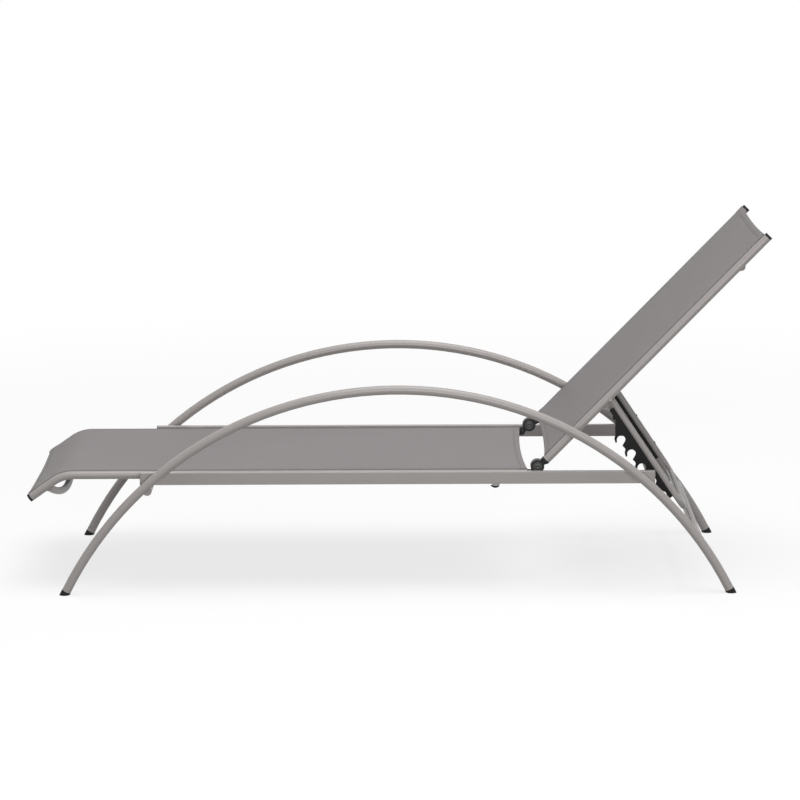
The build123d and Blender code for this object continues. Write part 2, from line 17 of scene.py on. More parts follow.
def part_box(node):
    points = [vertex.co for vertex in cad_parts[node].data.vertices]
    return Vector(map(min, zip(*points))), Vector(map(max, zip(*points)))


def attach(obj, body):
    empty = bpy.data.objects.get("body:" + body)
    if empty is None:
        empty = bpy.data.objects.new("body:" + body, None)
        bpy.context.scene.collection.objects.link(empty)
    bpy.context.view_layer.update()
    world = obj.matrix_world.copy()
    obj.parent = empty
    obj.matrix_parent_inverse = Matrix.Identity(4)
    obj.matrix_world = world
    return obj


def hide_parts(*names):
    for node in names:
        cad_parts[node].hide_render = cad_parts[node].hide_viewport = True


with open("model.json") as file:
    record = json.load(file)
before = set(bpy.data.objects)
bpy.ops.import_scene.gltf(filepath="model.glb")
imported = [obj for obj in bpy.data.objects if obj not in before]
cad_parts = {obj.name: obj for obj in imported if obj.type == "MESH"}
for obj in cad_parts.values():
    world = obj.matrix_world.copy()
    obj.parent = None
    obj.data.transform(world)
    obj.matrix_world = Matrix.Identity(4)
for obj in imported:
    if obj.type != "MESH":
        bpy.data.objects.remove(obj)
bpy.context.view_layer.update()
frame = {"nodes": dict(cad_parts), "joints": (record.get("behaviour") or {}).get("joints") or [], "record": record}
nodes = frame["nodes"]

# %% [markdown]
# The new pieces have to lie on the tubes, so the tubes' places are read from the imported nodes
# and joints. The few sizes that no box shows, such as the bend of the seat rails, are named
# here. Lengths are in metres. The seat rails lie level and bend down at the foot end, and the
# back rails rise from the hinge, so two directions describe every place on the two slings.

# %% Places read from the frame
X, Y, Z = np.eye(3)


def size_of(node):
    """Edge lengths of a node's box."""
    low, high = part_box(node)
    return np.array(high) - np.array(low)


def middle_of(node):
    """Middle of a node's box."""
    low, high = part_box(node)
    return (np.array(high) + np.array(low)) / 2


def slope(degrees):
    """Unit vectors along and square to a line that rises towards the head end in the side view:
    (cos a, 0, sin a) and (-sin a, 0, cos a)."""
    turn = math.radians(degrees)
    along = np.array([math.cos(turn), 0, math.sin(turn)])
    square = np.array([-math.sin(turn), 0, math.cos(turn)])
    return along, square


joints = {joint["name"]: joint for joint in frame["joints"]}
hinge = np.array(joints["back_recline"]["pos_m"])
rail_r = size_of("back_rail_left")[1] / 2
rail_y = middle_of("back_rail_right")[1]
seat_rail_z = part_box("seat_rail_left")[1].z - rail_r
seat_end_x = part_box("seat_rail_left")[1].x
arch_mid = middle_of("arch_left")[0]
foot_slope_deg, back_slope_deg = 35, 45.84
foot_run = 0.099
foot_bend_r = 0.085
seat_corner_out = 0.811
back_rail_drop = 0.005
foot_bend = math.radians(foot_slope_deg)
foot_dir, foot_up = slope(foot_slope_deg)
back_dir, back_up = slope(back_slope_deg)
seat_corner = np.array([arch_mid - seat_corner_out, 0, seat_rail_z])
back_rail_line = hinge - back_rail_drop * back_up
print("hinge", hinge, "rails at", round(rail_y, 4), "radius", round(rail_r, 4))

# %% [markdown]
# Every new shape is a grid of points: rows along one parameter, columns along the other. Shapes
# could also be pushed and pulled by hand in Edit Mode, but a grid follows its formula exactly
# and can be made again. One helper numbers the quads, and another makes a single mesh from
# several grids, so that a whole set of welds or stitches is one piece. Closed shapes have their
# poles merged and their faces turned outwards. A UV map, where there is one, is in metres.

# %% Grid surfaces
same_place = 1e-7


def grid_faces(rows, cols, wrap_rows=False, wrap_cols=False):
    """Quads that join row i, column j to i+1 and j+1. A wrapped direction closes on itself."""
    row = np.arange(rows if wrap_rows else rows - 1)
    col = np.arange(cols if wrap_cols else cols - 1)
    i, j = np.meshgrid(row, col, indexing="ij")
    below, right = (i + 1) % rows, (j + 1) % cols
    return np.stack([i * cols + j, i * cols + right, below * cols + right, below * cols + j], -1)


def turned_shape(centre, axis, profile, closed=False, steps=64):
    """A grid from (radius, height) pairs swept round an axis through centre: centre plus radius
    times (cos a, sin a) square to the axis plus height along it. A closed profile joins its
    last pair to its first."""
    axis = axis / np.linalg.norm(axis)
    across = np.cross(axis, Z if abs(axis[2]) < abs(axis[0]) + abs(axis[1]) else X)
    across = across / np.linalg.norm(across)
    radius, height = np.array(profile).T
    angle = np.arange(steps) * 2 * math.pi / steps
    around = np.cos(angle)[:, None] * across + np.sin(angle)[:, None] * np.cross(axis, across)
    return centre + radius[:, None, None] * around + height[:, None, None] * axis, closed, True


def piece(name, grids, finish, body=None, uv=None, smooth=True):
    """One mesh from grids of the form (points, wrap_rows, wrap_cols), painted. Closed shapes
    ride on a body, and are merged and turned outwards."""
    corners, faces, count = [], [], 0
    for points, wrap_rows, wrap_cols in grids:
        rows, cols = points.shape[:2]
        corners.append(points.reshape(-1, 3))
        faces.append(grid_faces(rows, cols, wrap_rows, wrap_cols).reshape(-1, 4) + count)
        count += rows * cols
    faces = np.concatenate(faces)
    mesh = bpy.data.meshes.new(name)
    mesh.from_pydata(np.concatenate(corners).tolist(), [], faces.tolist())
    if uv is not None:
        corner_uv = uv.reshape(-1, 2)[faces.reshape(-1)]
        layer = mesh.uv_layers.new(name="UVMap")
        layer.uv.foreach_set("vector", corner_uv.astype(np.float32).ravel())
    if body:
        shells = bmesh.new()
        shells.from_mesh(mesh)
        bmesh.ops.remove_doubles(shells, verts=shells.verts, dist=same_place)
        bmesh.ops.recalc_face_normals(shells, faces=shells.faces)
        shells.to_mesh(mesh)
        shells.free()
    mesh.polygons.foreach_set("use_smooth", np.full(len(mesh.polygons), smooth))
    mesh.update()
    mesh.materials.append(finish)
    obj = bpy.data.objects.new(name, mesh)
    bpy.context.scene.collection.objects.link(obj)
    if body:
        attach(obj, body)
    return obj


# %% [markdown]
# The photograph is a catalogue picture on white: a long lens, a little above the lounger,
# turned a few degrees down. A camera could be placed by eye, but this one's place and turn were
# solved from the feet and the arches, so that the render can be laid over the photograph. A
# camera looks along its own -Z with Y up, so its matrix holds right, up and backward.

# %% Camera
camera_place = (0.0090, -7.6890, 1.9461)
camera_yaw, camera_down, camera_roll = 0.00018, 0.19646, 0.00386
camera_focal_px = 3150.05
image_px, sensor_mm = 800, 36
view_end = 200

forward = np.array([
    -math.sin(camera_yaw) * math.cos(camera_down),
    math.cos(camera_yaw) * math.cos(camera_down),
    -math.sin(camera_down),
])
level_right = np.array([math.cos(camera_yaw), math.sin(camera_yaw), 0])
level_down = np.cross(forward, level_right)
right = math.cos(camera_roll) * level_right + math.sin(camera_roll) * level_down
down = math.cos(camera_roll) * level_down - math.sin(camera_roll) * level_right
camera = bpy.data.objects.new("camera", bpy.data.cameras.new("camera"))
camera.data.lens = camera_focal_px / image_px * sensor_mm
camera.data.sensor_width = sensor_mm
camera.data.clip_end = view_end
camera_turn = Matrix(np.column_stack([right, -down, -forward]).tolist()).to_4x4()
camera.matrix_world = Matrix.Translation(camera_place) @ camera_turn
bpy.context.scene.collection.objects.link(camera)
bpy.context.scene.camera = camera
bpy.context.scene.view_settings.view_transform = "Standard"
print("lens", round(camera.data.lens, 2), "mm")

# %% [markdown]
# One very large soft lamp high overhead gives every round tube its bright upper half, and a
# weaker one stands by the camera. Smaller lamps would draw hard shadows, and the photograph has
# none.

# %% Lamps
lamp_target = Vector((0, 0, 0.3))


def soft_lamp(name, place, size, power):
    """A square area lamp at place, turned towards the lounger's middle."""
    lamp = bpy.data.objects.new(name, bpy.data.lights.new(name, "AREA"))
    lamp.data.shape = "SQUARE"
    lamp.data.size = size
    lamp.data.energy = power
    lamp.location = place
    lamp.rotation_euler = (Vector(place) - lamp_target).to_track_quat("Z", "Y").to_euler()
    bpy.context.scene.collection.objects.link(lamp)
    print("lamp", name, power, "W")


soft_lamp("overhead", place=(0.8, -0.9, 8.0), size=6.0, power=480)
soft_lamp("front_fill", place=(0.6, -6.0, 1.5), size=2.6, power=135)

# %% [markdown]
# Materials and the world are trees of nodes. They can be wired by hand in the Shader Editor,
# and four short helpers do the same here: one makes a shader node and sets its inputs, one does
# a sum, one mixes two shaders, and one makes a material with its tree.

# %% Node helpers
def shader_node(tree, kind, **inputs):
    """A new shader node. Its inputs, named with underscores for spaces, get values or links."""
    node = tree.nodes.new("ShaderNode" + kind)
    for label, value in inputs.items():
        socket = node.inputs[label.replace("_", " ")]
        if isinstance(value, bpy.types.NodeSocket):
            tree.links.new(value, socket)
        else:
            socket.default_value = value
    return node


def calc(tree, operation, *values):
    """The output of a Math node whose inputs are numbers or sockets."""
    node = tree.nodes.new("ShaderNodeMath")
    node.operation = operation
    for socket, value in zip(node.inputs, values):
        if isinstance(value, (int, float)):
            socket.default_value = value
        else:
            tree.links.new(value, socket)
    return node.outputs[0]


def mixed_shader(tree, factor, first, second):
    """The output of a Mix Shader node: the first shader at factor 0, the second at 1."""
    node = shader_node(tree, "MixShader", Fac=factor)
    tree.links.new(first, node.inputs[1])
    tree.links.new(second, node.inputs[2])
    return node.outputs["Shader"]


def new_material(name):
    """A material with nodes, and its tree."""
    material = bpy.data.materials.new(name)
    material.use_nodes = True
    return material, material.node_tree


# %% [markdown]
# The world fills the shadows. Were it bright white for every ray, the undersides of the tubes
# would be as light as their tops. So the camera, reflections and glass see white, and all
# other rays meet a much dimmer white.

# %% World
ambient_strength = 0.24


def white_rays(tree):
    """1 for camera, glossy and transmission rays, which see the white studio, else 0."""
    rays = shader_node(tree, "LightPath").outputs
    seen = [rays[label] for label in ("Is Camera Ray", "Is Glossy Ray", "Is Transmission Ray")]
    return calc(tree, "MAXIMUM", calc(tree, "MAXIMUM", seen[0], seen[1]), seen[2])


world = bpy.data.worlds.new("studio")
bpy.context.scene.world = world
world.use_nodes = True
world_tree = world.node_tree
ambient = world_tree.nodes["Background"]
ambient.inputs["Color"].default_value = (1, 1, 1, 1)
ambient.inputs["Strength"].default_value = ambient_strength
white = shader_node(world_tree, "Background", Color=(1, 1, 1, 1))
studio = mixed_shader(world_tree, white_rays(world_tree), ambient.outputs[0], white.outputs[0])
world_tree.links.new(studio, world_tree.nodes["World Output"].inputs["Surface"])
print("world strength", ambient_strength)

# %% [markdown]
# A plain white floor would need so much light that the object washed out. This one is a grey
# surface, which takes the lounger's faint shadow, with a glow that lifts it to white. Away from
# the lounger it fades to an even white, and what it throws back at the tubes stays low.

# %% Floor
floor_half = 60.0
floor_z = -0.0005
bounce_grey, seen_grey, glow_strength = 0.26, 0.25, 0.76
fade_start, fade_end = 1.6, 4.0
floor_corners = np.array([[[-1, -1, 0], [1, -1, 0]], [[-1, 1, 0], [1, 1, 0]]])
floor_points = floor_corners * floor_half + floor_z * Z
floor_paint, floor_tree = new_material("floor_pale")
floor_tree.nodes.remove(floor_tree.nodes["Principled BSDF"])
bounce = shader_node(floor_tree, "BsdfDiffuse", Color=(bounce_grey, bounce_grey, bounce_grey, 1))
pale = shader_node(floor_tree, "BsdfDiffuse", Color=(seen_grey, seen_grey, seen_grey, 1))
glow = shader_node(floor_tree, "Emission", Strength=glow_strength)
near = shader_node(floor_tree, "AddShader")
floor_tree.links.new(pale.outputs[0], near.inputs[0])
floor_tree.links.new(glow.outputs[0], near.inputs[1])
far = shader_node(floor_tree, "Emission", Strength=1.0)
reach = floor_tree.nodes.new("ShaderNodeVectorMath")
reach.operation = "LENGTH"
floor_tree.links.new(shader_node(floor_tree, "TexCoord").outputs["Object"], reach.inputs[0])
away = shader_node(
    floor_tree, "MapRange", Value=reach.outputs["Value"], From_Min=fade_start, From_Max=fade_end
)
away.interpolation_type = "SMOOTHSTEP"
seen_floor = mixed_shader(floor_tree, away.outputs["Result"], near.outputs[0], far.outputs[0])
shown = mixed_shader(floor_tree, white_rays(floor_tree), bounce.outputs[0], seen_floor)
floor_tree.links.new(shown, floor_tree.nodes["Material Output"].inputs["Surface"])
floor = piece("floor", [(floor_points, False, False)], floor_paint, smooth=False)
print("floor", floor_half * 2, "m wide")

# %% [markdown]
# A sprayed or moulded skin is never quite even. An image texture could show that, but noise
# needs no file and never repeats. As several finishes share it, it is a node group, built once:
# a fine height and a faint change of tone, both in the object's own coordinates.

# %% Skin group
noise_middle = 0.5


def new_group(name, ins, outs):
    """A shader node group. ins are (name, value) pairs of numbers, outs are names of numbers."""
    group = bpy.data.node_groups.new(name, "ShaderNodeTree")
    for label, value in ins:
        socket = group.interface.new_socket(label, in_out="INPUT", socket_type="NodeSocketFloat")
        socket.default_value = value
    for label in outs:
        group.interface.new_socket(label, in_out="OUTPUT", socket_type="NodeSocketFloat")
    given = group.nodes.new("NodeGroupInput").outputs
    return group, given, group.nodes.new("NodeGroupOutput").inputs


def grouped(tree, group, **values):
    """A node that uses a group, with some of its values set."""
    node = tree.nodes.new("ShaderNodeGroup")
    node.node_tree = group
    for label, value in values.items():
        node.inputs[label].default_value = value
    return node


skin_group, given, result = new_group(
    "fine_skin", [("Scale", 900.0), ("Mottle", 14.0), ("Depth", 0.04)], ["Tone", "Height"]
)
place = shader_node(skin_group, "TexCoord").outputs["Object"]
fine = shader_node(skin_group, "TexNoise", Vector=place, Scale=given["Scale"], Detail=3.0)
broad = shader_node(skin_group, "TexNoise", Vector=place, Scale=given["Mottle"], Detail=4.0)
centred = calc(skin_group, "SUBTRACT", broad.outputs["Fac"], noise_middle)
mottled = calc(skin_group, "MULTIPLY_ADD", centred, given["Depth"], 1.0)
skin_group.links.new(mottled, result["Tone"])
skin_group.links.new(fine.outputs["Fac"], result["Height"])
print("group", skin_group.name)

# %% [markdown]
# Dust settles where a surface looks up. The second group gives a mask that is strongest on
# upward faces and is broken up by noise, so the tops of the tubes and the rubber feet look used
# outdoors. Dust could be painted on by hand, but the mask suits every piece without a UV map.

# %% Dust group
dust_group, given, result = new_group(
    "settled_dust", [("Amount", 0.1), ("Scale", 30.0)], ["Mask"]
)
place = shader_node(dust_group, "TexCoord").outputs["Object"]
facing = shader_node(dust_group, "NewGeometry").outputs["Normal"]
up_part = shader_node(dust_group, "SeparateXYZ", Vector=facing).outputs["Z"]
specks = shader_node(dust_group, "TexNoise", Vector=place, Scale=given["Scale"], Detail=6.0)
upward = calc(dust_group, "MAXIMUM", up_part, 0.0)
patchy = calc(dust_group, "MULTIPLY", upward, specks.outputs["Fac"])
dust_group.links.new(calc(dust_group, "MULTIPLY", patchy, given["Amount"]), result["Mask"])
print("group", dust_group.name)

# %% [markdown]
# Most finishes of the lounger are one recipe with different numbers: a base colour with a faint
# mottle, a little dust, a roughness that the dust raises, and a fine bump. Powder coat is smooth
# with a slight orange peel, moulded plastic is duller, and rubber is the dullest. One function
# keeps the recipe in one place, where separate materials would drift apart.

# %% One recipe for coats, plastics and rubber
dust_colour = (0.42, 0.40, 0.37, 1)
dust_roughness = 0.6
skin_relief = 0.35


def toned(tree, colour, tone):
    """colour times tone, as a socket."""
    node = tree.nodes.new("ShaderNodeVectorMath")
    node.operation = "SCALE"
    node.inputs[0].default_value = colour
    tree.links.new(tone, node.inputs["Scale"])
    return node.outputs["Vector"]


def skinned(name, colour, rough, grain, bump, mottle=0.05, dust=0.1, metallic=0.0, gloss=0.5):
    """A finish whose colour times tone, mixed towards dust by the dust mask, feeds Base Color.
    The mask times the dust's roughness is added to the skin's own."""
    material, tree = new_material(name)
    shader = tree.nodes["Principled BSDF"]
    shader.inputs["Metallic"].default_value = metallic
    shader.inputs["Specular IOR Level"].default_value = gloss
    skin = grouped(tree, skin_group, Scale=grain, Depth=mottle)
    mask = grouped(tree, dust_group, Amount=dust).outputs["Mask"]
    mixed = tree.nodes.new("ShaderNodeMix")
    mixed.data_type = "RGBA"
    mixed.inputs["B"].default_value = dust_colour
    tree.links.new(mask, mixed.inputs["Factor"])
    tree.links.new(toned(tree, colour, skin.outputs["Tone"]), mixed.inputs["A"])
    tree.links.new(mixed.outputs["Result"], shader.inputs["Base Color"])
    roughness = calc(tree, "MULTIPLY_ADD", mask, dust_roughness, rough)
    tree.links.new(roughness, shader.inputs["Roughness"])
    height = skin.outputs["Height"]
    relief = shader_node(tree, "Bump", Distance=bump, Strength=skin_relief, Height=height)
    tree.links.new(relief.outputs["Normal"], shader.inputs["Normal"])
    return material


# %% [markdown]
# These are the lounger's own coats. frame_paint is the warm grey powder coat of all tubes, and
# the weld beads have it a little darker and rougher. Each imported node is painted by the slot
# that its record names. The two slings have no finish here, as a cloth replaces each of them.

# %% Finishes of the frame
looks = {
    "frame_paint": dict(
        colour=(0.375, 0.349, 0.338), rough=0.34, grain=700, bump=0.00004, mottle=0.04, dust=0.05
    ),
    "foot_rubber": dict(
        colour=(0.008, 0.008, 0.008), rough=0.62, grain=1200, bump=0.00012, mottle=0.3, dust=0.06,
        gloss=0.2,
    ),
    "black_plastic": dict(
        colour=(0.010, 0.010, 0.010), rough=0.44, grain=1500, bump=0.00006, mottle=0.2, dust=0.04,
        gloss=0.25,
    ),
    "hinge_cover": dict(
        colour=(0.045, 0.044, 0.044), rough=0.36, grain=1800, bump=0.00005, mottle=0.2, dust=0.04
    ),
    "rack_plastic": dict(
        colour=(0.008, 0.007, 0.007), rough=0.48, grain=1300, bump=0.00007, mottle=0.2, dust=0.05,
        gloss=0.15,
    ),
    "edge_cord": dict(colour=(0.18, 0.17, 0.16), rough=0.55, grain=900, bump=0.00005),
    "fastener": dict(
        colour=(0.13, 0.13, 0.13), rough=0.50, grain=900, bump=0.00003, mottle=0.1, dust=0.03,
        metallic=1.0,
    ),
    "hinge_grey": dict(
        colour=(0.115, 0.115, 0.113), rough=0.42, grain=1500, bump=0.00006, mottle=0.2, dust=0.04
    ),
    "weld_coat": dict(
        colour=(0.365, 0.340, 0.329), rough=0.40, grain=500, bump=0.00010, mottle=0.10, dust=0.06
    ),
}
finishes = {name: skinned(name, **look) for name, look in looks.items()}
slots = {part["node"]: part["material_slot"] for part in frame["record"]["subparts"]}
for node_name, node in nodes.items():
    finish = finishes.get(slots[node_name])
    if finish:
        node.data.materials.clear()
        node.data.materials.append(finish)
print("finishes", sorted(finishes))

# %% [markdown]
# Sharp CAD corners look like paper. A narrow bevel on the box tubes and the moulded pieces gives
# each edge the small round that catches the light. It could be cut into the mesh, but as a
# modifier it leaves the solids as packed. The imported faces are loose, so a weld modifier joins
# them for the bevel first.

# %% Rounded edges
loose_gap = 1e-6
round_segments = 4
sharp_edge = math.radians(50)
edge_rounds = {
    "side_rail_left": 0.0014, "side_rail_right": 0.0014,
    "rack_plate_left": 0.0006, "rack_plate_right": 0.0006,
    "stacking_bumpers": 0.0006,
}
for node_name, width in edge_rounds.items():
    join = nodes[node_name].modifiers.new("join_faces", "WELD")
    join.merge_threshold = loose_gap
    bevel = nodes[node_name].modifiers.new("edge_round", "BEVEL")
    bevel.width = width
    bevel.segments = round_segments
    bevel.limit_method = "ANGLE"
    bevel.angle_limit = sharp_edge
print("rounded", len(edge_rounds), "nodes")

# %% [markdown]
# The slings are a coated mesh, woven from flat yarns about a millimetre and a half apart. The
# yarns could be modelled one by one, but they cross nearly 400,000 times, so a pattern stands in
# for them. Each yarn rises over one crossing and dips under the next, so the height of a point
# is the larger of two rounded yarns, one along each direction, swapped from cell to cell. That
# height also paints shade into the tone: darker where the yarns dip, lighter on their tops. The
# pattern reads the UV map in metres, and slow streaks along the cloth break up the even tone.
# Light comes through the open mesh from below, except over the rails, so painted shade darkens
# the cloth in a band along each edge. Each tone is a pair: the gain of what it reads, and its
# base.

# %% Woven mesh group, with painted shade
yarn_pitch = 0.0016
yarn_mean, yarn_swing = 0.75, 0.25
# Painted shade in the weave: darker where the yarns dip, lighter on the raised yarns.
weave_hollow_shade = (0.30, 0.78)
streak_shade = (0.10, 0.95)
patch_shade = (0.08, 0.96)
# Painted shade over the rails, which block the light that comes up through the mesh.
rail_painted_shade = (0.30, 0.70)
streak_stretch = (260, 6, 1)
patch_scale = 5.0
# Width of the painted shade band over each rail, and how sharply it fades inwards.
rail_shade_band, rail_shade_sharpness = 0.0125, 6.0
weave_group, given, result = new_group(
    "woven_mesh_and_shade", [("Pitch", yarn_pitch), ("Width", 0.5), ("Band", rail_shade_band)], ["Tone", "Height"]
)
cloth_uv = weave_group.nodes.new("ShaderNodeUVMap")
cloth_uv.uv_map = "UVMap"
on_cloth = cloth_uv.outputs["UV"]
axes = shader_node(weave_group, "SeparateXYZ", Vector=on_cloth).outputs
waves = []
for axis in ("X", "Y"):
    cells = calc(weave_group, "DIVIDE", axes[axis], given["Pitch"])
    waves.append(calc(weave_group, "SINE", calc(weave_group, "MULTIPLY", cells, math.pi)))
parity = calc(weave_group, "SIGN", calc(weave_group, "MULTIPLY", *waves))
lifts = []
for wave, swing in zip(waves, (yarn_swing, -yarn_swing)):
    share = calc(weave_group, "MULTIPLY_ADD", parity, swing, yarn_mean)
    lifts.append(calc(weave_group, "MULTIPLY", calc(weave_group, "ABSOLUTE", wave), share))
yarn_height = calc(weave_group, "MAXIMUM", *lifts)
stretch = shader_node(weave_group, "Mapping", Vector=on_cloth, Scale=streak_stretch)
streaks = shader_node(
    weave_group, "TexNoise", Vector=stretch.outputs["Vector"], Scale=1.0, Detail=3.0
)
patches = shader_node(weave_group, "TexNoise", Vector=on_cloth, Scale=patch_scale)
half_width = calc(weave_group, "MULTIPLY", given["Width"], 0.5)
from_middle = calc(weave_group, "ABSOLUTE", calc(weave_group, "SUBTRACT", axes["X"], half_width))
from_edge = calc(weave_group, "SUBTRACT", half_width, from_middle)
inside = calc(weave_group, "MINIMUM", calc(weave_group, "DIVIDE", from_edge, given["Band"]), 1.0)
# 1 away from the rails and falling to 0 at the edges, where the painted shade is darkest.
unshaded = calc(weave_group, "POWER", inside, rail_shade_sharpness)
# The yarn height paints shade into the tone, then streaks, patches and the rails' painted shade follow.
woven_tone_and_shade = calc(weave_group, "MULTIPLY_ADD", yarn_height, *weave_hollow_shade)
for read, shade in (
    (streaks.outputs["Fac"], streak_shade),
    (patches.outputs["Fac"], patch_shade),
    (unshaded, rail_painted_shade),
):
    shaded = calc(weave_group, "MULTIPLY_ADD", read, *shade)
    woven_tone_and_shade = calc(weave_group, "MULTIPLY", woven_tone_and_shade, shaded)
weave_group.links.new(woven_tone_and_shade, result["Tone"])
weave_group.links.new(yarn_height, result["Height"])
print("group", weave_group.name)

# %% [markdown]
# The sling's own material is a dull grey with a trace of sheen, toned and raised by the weave.
# With more sheen it would look like felt, and with none like a plain plastic sheet. The thread
# of the hems is a darker skin from the recipe above.

# %% Sling cloth and thread
sling_colour = (0.254, 0.234, 0.236)
cloth_rough, cloth_gloss, cloth_sheen = 0.62, 0.22, 0.05
cloth_width = 0.4992
sling_cloth, cloth_tree = new_material("sling_cloth")
shader = cloth_tree.nodes["Principled BSDF"]
shader.inputs["Roughness"].default_value = cloth_rough
shader.inputs["Specular IOR Level"].default_value = cloth_gloss
shader.inputs["Sheen Weight"].default_value = cloth_sheen
weave = grouped(cloth_tree, weave_group, Width=cloth_width)
# The cloth colour carries the weave's painted shade and the painted shade over the rails.
woven_colour_and_shade = toned(cloth_tree, sling_colour, weave.outputs["Tone"])
cloth_tree.links.new(woven_colour_and_shade, shader.inputs["Base Color"])
relief = shader_node(
    cloth_tree, "Bump", Distance=0.0004, Strength=0.5, Height=weave.outputs["Height"]
)
cloth_tree.links.new(relief.outputs["Normal"], shader.inputs["Normal"])
thread = skinned(
    "hem_thread", colour=(0.17, 0.156, 0.154), rough=0.6, grain=2500, bump=0.00005, mottle=0.2,
    dust=0.0, gloss=0.2,
)
print("cloth", sling_cloth.name, "thread", thread.name)

# %% [markdown]
# A sling is one sheet that is stretched between two rails. Seen from the side it follows a line:
# straight along the backrest, and with the rails' own bend at the foot end of the seat. The
# cloth lies on top of the rails, so each line is the rail's centre line raised by the rail's
# radius and a hair more.

# %% The slings' lines in the side view
cloth_clearance = 0.0006
sling_rise = rail_r + cloth_clearance


def seat_line(s):
    """Place and upward normal at a length s from the foot end of the seat's raised line: a
    straight slope, an arc of the bend's radius plus the rise, then a level run."""
    bend_r = foot_bend_r + sling_rise
    run = foot_run - foot_bend_r * math.tan(foot_bend / 2)
    slope_end = seat_corner + sling_rise * foot_up - (foot_run - run) * foot_dir
    centre = slope_end - bend_r * foot_up
    lean = foot_bend - np.clip((s - run) / bend_r, 0, foot_bend)
    up = np.stack([-np.sin(lean), 0 * s, np.cos(lean)], -1)
    along = np.stack([np.cos(lean), 0 * s, np.sin(lean)], -1)
    past = np.where(s < run, s - run, np.maximum(s - run - bend_r * foot_bend, 0))
    return centre + up * bend_r + along * past[..., None], up


def back_line(s):
    """Place and normal at a length s from the hinge along the raised line of the back rails."""
    at = back_rail_line + sling_rise * back_up + back_dir * s[..., None]
    return at, np.broadcast_to(back_up, s.shape + (3,))


print("slings rise", round(sling_rise, 4), "m over the rails' centre lines")

# %% [markdown]
# Between the rails the cloth hangs in a shallow hollow. A cloth simulation could find that, but
# it would move the hems away from where the photograph shows them. A formula keeps them: a
# rounded hollow, shallower at the hems, with faint pull lines that die out from both of them.

# %% How the cloth hangs
end_hang = 0.72
hang_power = 1.15
pull_depth, pull_fade = 0.0005, 6
first_pull, last_pull = (61, 3), (53, -2)


def hang_depth(share, y_share, sag):
    """How far the cloth hangs below its rails, at a share of its length and at y_share from the
    middle to a rail: sag times the hollow, plus waves times exp(-fade times the way in)."""
    hollow = np.clip(1 - y_share**2, 0, 1)
    ends = end_hang + (1 - end_hang) * np.sin(math.pi * share)
    pull = 0
    for (waves, slant), way_in in ((first_pull, share), (last_pull, 1 - share)):
        pull = pull + np.sin(share * waves + slant * y_share) * np.exp(-pull_fade * way_in)
    return sag * hollow**hang_power * ends + pull_depth * pull * hollow


# %% [markdown]
# The long edges of a sling pass over the rails and turn down into the slots along their tops,
# where a cord holds them. Its two hems are turned under and sewn: the sheet carries on round a
# half circle and back underneath. All of that is one grid, row by row, and a Solidify modifier
# gives it its thickness. Over a rail the folded hem is pressed flatter, and the sheet lifts by
# the fold's thickness, so that the layer underneath clears the rail.

# %% One sling
sling_t = 0.0009
edge_turn_r, edge_drop = 0.0007, 0.0012
hem_turn_r, hem_under = 0.0009, 0.017
flat_half = rail_y - edge_turn_r
pressed_share = 0.45
lift_end = 1.5
flat_columns, edge_steps, hem_steps, under_rows = 97, 3, 5, 5


def sling(name, line, span, dips, sag, rows):
    """A sheet over span, a pair of lengths along line. Row by row: back under the first hem,
    round it, along the cloth, round the second hem and back under. dips are how far the hems'
    middles draw in, and sag is how deep the cloth hangs midway between the rails."""
    y_flat = np.linspace(-1, 1, flat_columns) * flat_half
    turn = np.linspace(0, math.pi / 2, edge_steps + 1)[1:]
    edge_y = np.append(edge_turn_r * np.sin(turn), edge_turn_r)
    edge_low = np.append(edge_turn_r * (1 - np.cos(turn)), edge_turn_r + edge_drop)
    y = np.concatenate([-flat_half - edge_y[::-1], y_flat, flat_half + edge_y])
    low = np.concatenate([edge_low[::-1], np.zeros(flat_columns), edge_low])
    y_share = np.clip(y / flat_half, -1, 1)
    first = span[0] + dips[0] * (1 - y_share**2)
    last = span[1] - dips[1] * (1 - y_share**2)
    over_rail = np.clip((np.abs(y) - (rail_y - 2 * rail_r)) / rail_r, 0, 1)
    fold = 2 * hem_turn_r * (1 - pressed_share * over_rail)
    bow = np.linspace(0, math.pi, hem_steps + 2)[1:-1]
    near = np.concatenate([np.linspace(hem_under, 0, under_rows), -hem_turn_r * np.sin(bow)])
    under_share = np.concatenate([np.ones(under_rows), (1 + np.cos(bow)) / 2])
    spread = np.linspace(0, 1, rows)[:, None]
    s = np.concatenate([
        first + near[:, None], first + spread * (last - first), last - near[::-1, None]
    ])
    under = np.concatenate([under_share, np.zeros(rows), under_share[::-1]])[:, None]
    hems_in = np.minimum(s - first, last - s) / hem_under
    lift = fold * over_rail * np.clip((lift_end - hems_in) / (lift_end - 1), 0, 1)
    share = np.clip((s - span[0]) / (span[1] - span[0]), 0, 1)
    at, up = line(s)
    depth = hang_depth(share, y_share, sag) + under * fold + low * (1 - under) - lift
    points = at - up * depth[..., None]
    points[..., 1] = y
    steps = np.linalg.norm(np.diff(points, axis=0), axis=-1)
    v = np.concatenate([np.zeros((1, len(y))), np.cumsum(steps, axis=0)])
    u = np.concatenate([[0], np.cumsum(np.hypot(np.diff(y), np.diff(low)))])
    uv = np.stack([np.broadcast_to(u, v.shape), v], -1)
    sheet = piece(name, [(points, False, False)], sling_cloth, uv=uv)
    thickness = sheet.modifiers.new("cloth_thickness", "SOLIDIFY")
    thickness.thickness = sling_t
    thickness.offset = 0
    flat = (float(u[-1]), float(v[-1, len(y) // 2]))
    print(name, "flat width and length", [round(side, 4) for side in flat])
    return sheet, flat


# %% [markdown]
# The seat sling runs from the foot caps to just short of the rails' rear ends. The straight foot
# hem has no dip, and the others draw in at their middles. The seat's raised line is as long as
# both straight lengths up to the rails' corner, less what the bend cuts off, plus what the rise
# adds to its arc.

